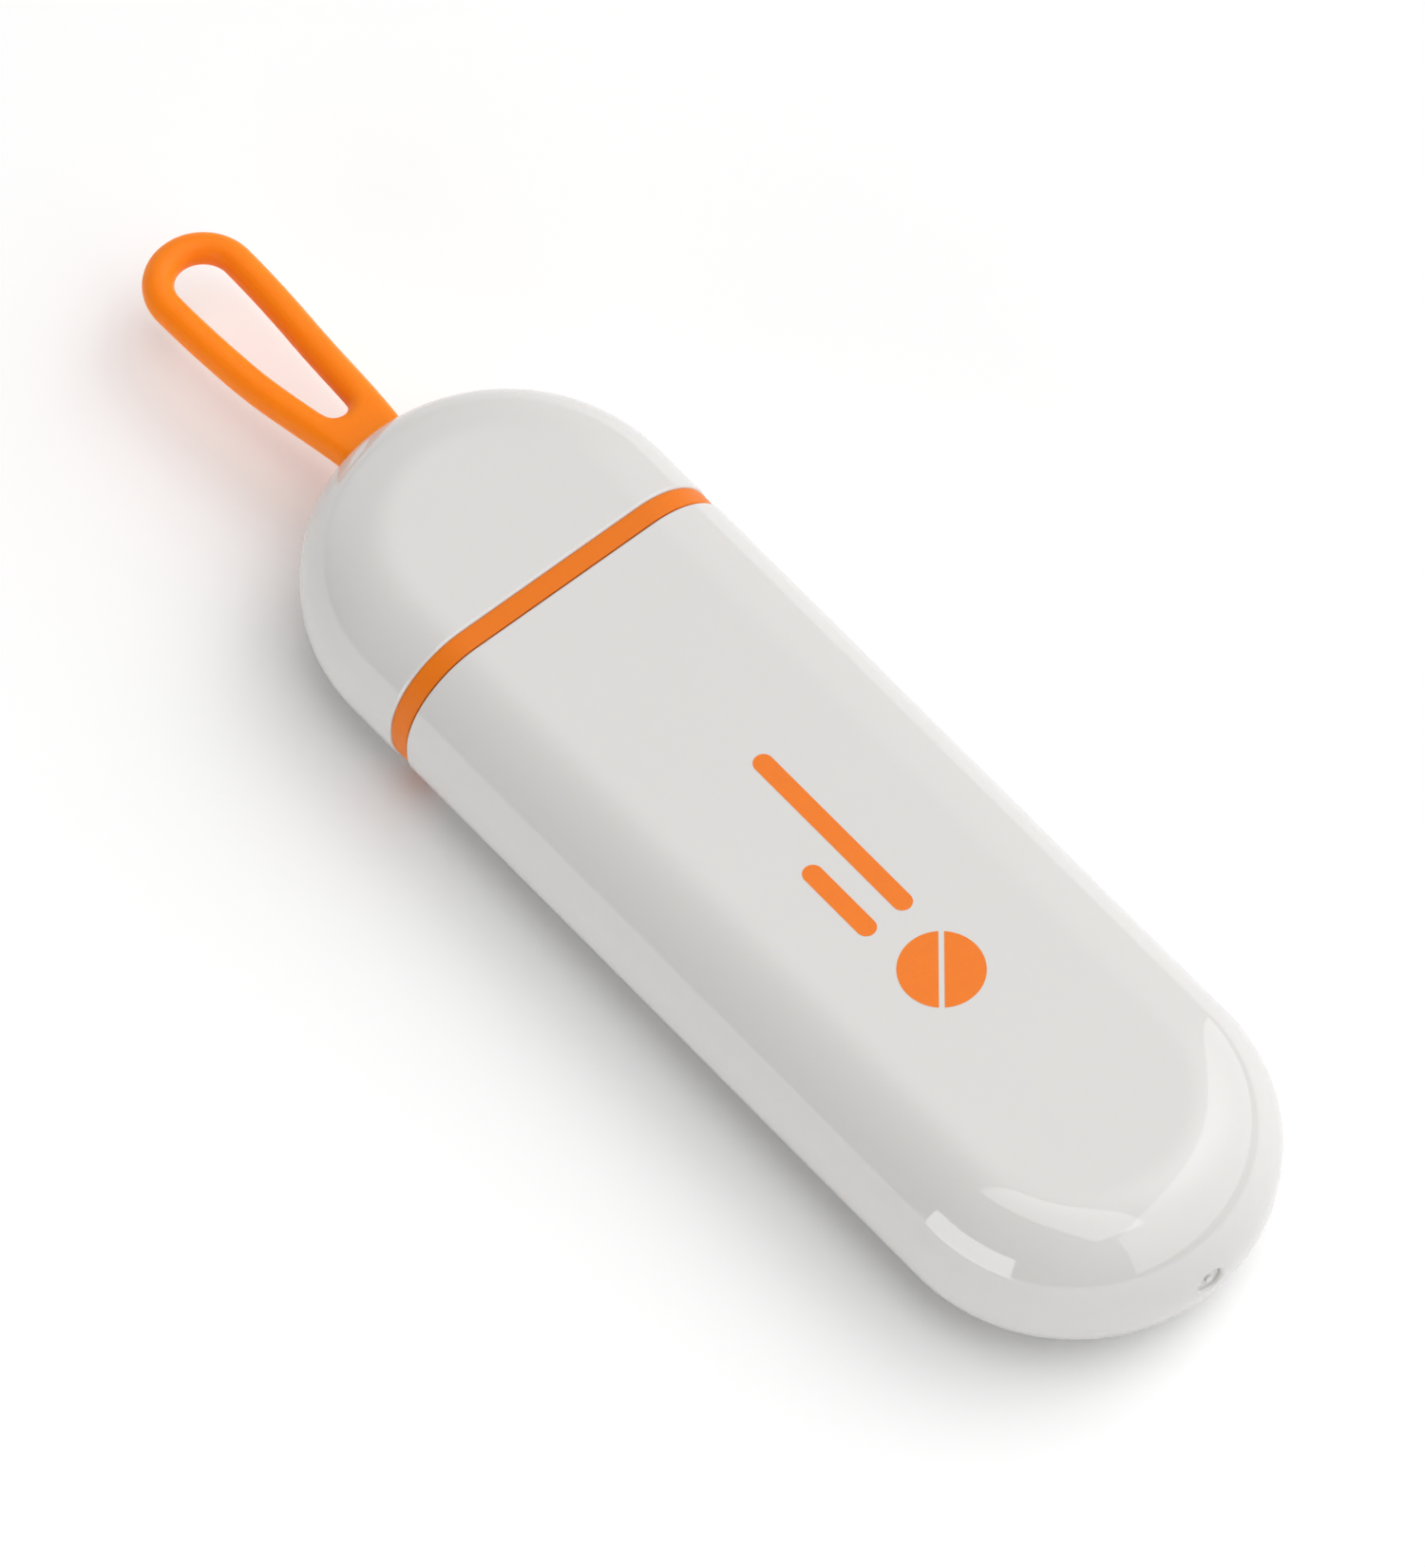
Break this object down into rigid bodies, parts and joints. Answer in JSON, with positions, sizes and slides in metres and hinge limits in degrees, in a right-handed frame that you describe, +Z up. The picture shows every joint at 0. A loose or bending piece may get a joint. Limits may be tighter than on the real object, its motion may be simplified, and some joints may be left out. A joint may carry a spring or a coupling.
{
  "type": "pocket pill case",
  "caption": "Flat capsule-shaped pocket pill case: a glossy shell and cap with a silicone seal ring and pull loop, and a pull-out tray with loose dividers.",
  "frame": {"origin": "centre of the flat back face that the case rests on, half way along the body without the loop", "axes": "+X across the width, +Y along the length towards the cap and the pull loop, +Z up out of the back face, through the thickness"},
  "size_m": [0.04, 0.1555, 0.0186],
  "materials": {
    "white_shell": "high-gloss injection-moulded ABS, warm white",
    "plug_plastic": "plain moulded ABS, white",
    "orange_silicone": "soft satin silicone rubber, orange",
    "tray_plastic": "frosted natural polypropylene, slightly translucent",
    "orange_print": "thin pad-printed ink, orange, satin gloss"
  },
  "bodies": {
    "case": {"outer_case": "white_shell"},
    "drawer": {"cap_shell": "white_shell", "cap_core": "plug_plastic", "seal_ring": "orange_silicone", "loop_anchor": "orange_silicone", "pill_tray": "tray_plastic", "divider_1": "tray_plastic", "divider_2": "tray_plastic", "divider_3": "tray_plastic"},
    "loop": {"pull_loop": "orange_silicone"}
  },
  "joints": [
    {"name": "cap_pull", "type": "slide", "parent": "case", "child": "drawer", "axis": [0, 1, 0], "range_m": [0, 0.09]},
    {"name": "loop_flex", "type": "hinge", "parent": "drawer", "child": "loop", "pos_m": [0, 0.0637, 0.0093], "axis": [1, 0, 0], "range_deg": [-60, 60], "stiffness_Nm_per_rad": 0.01}
  ]
}
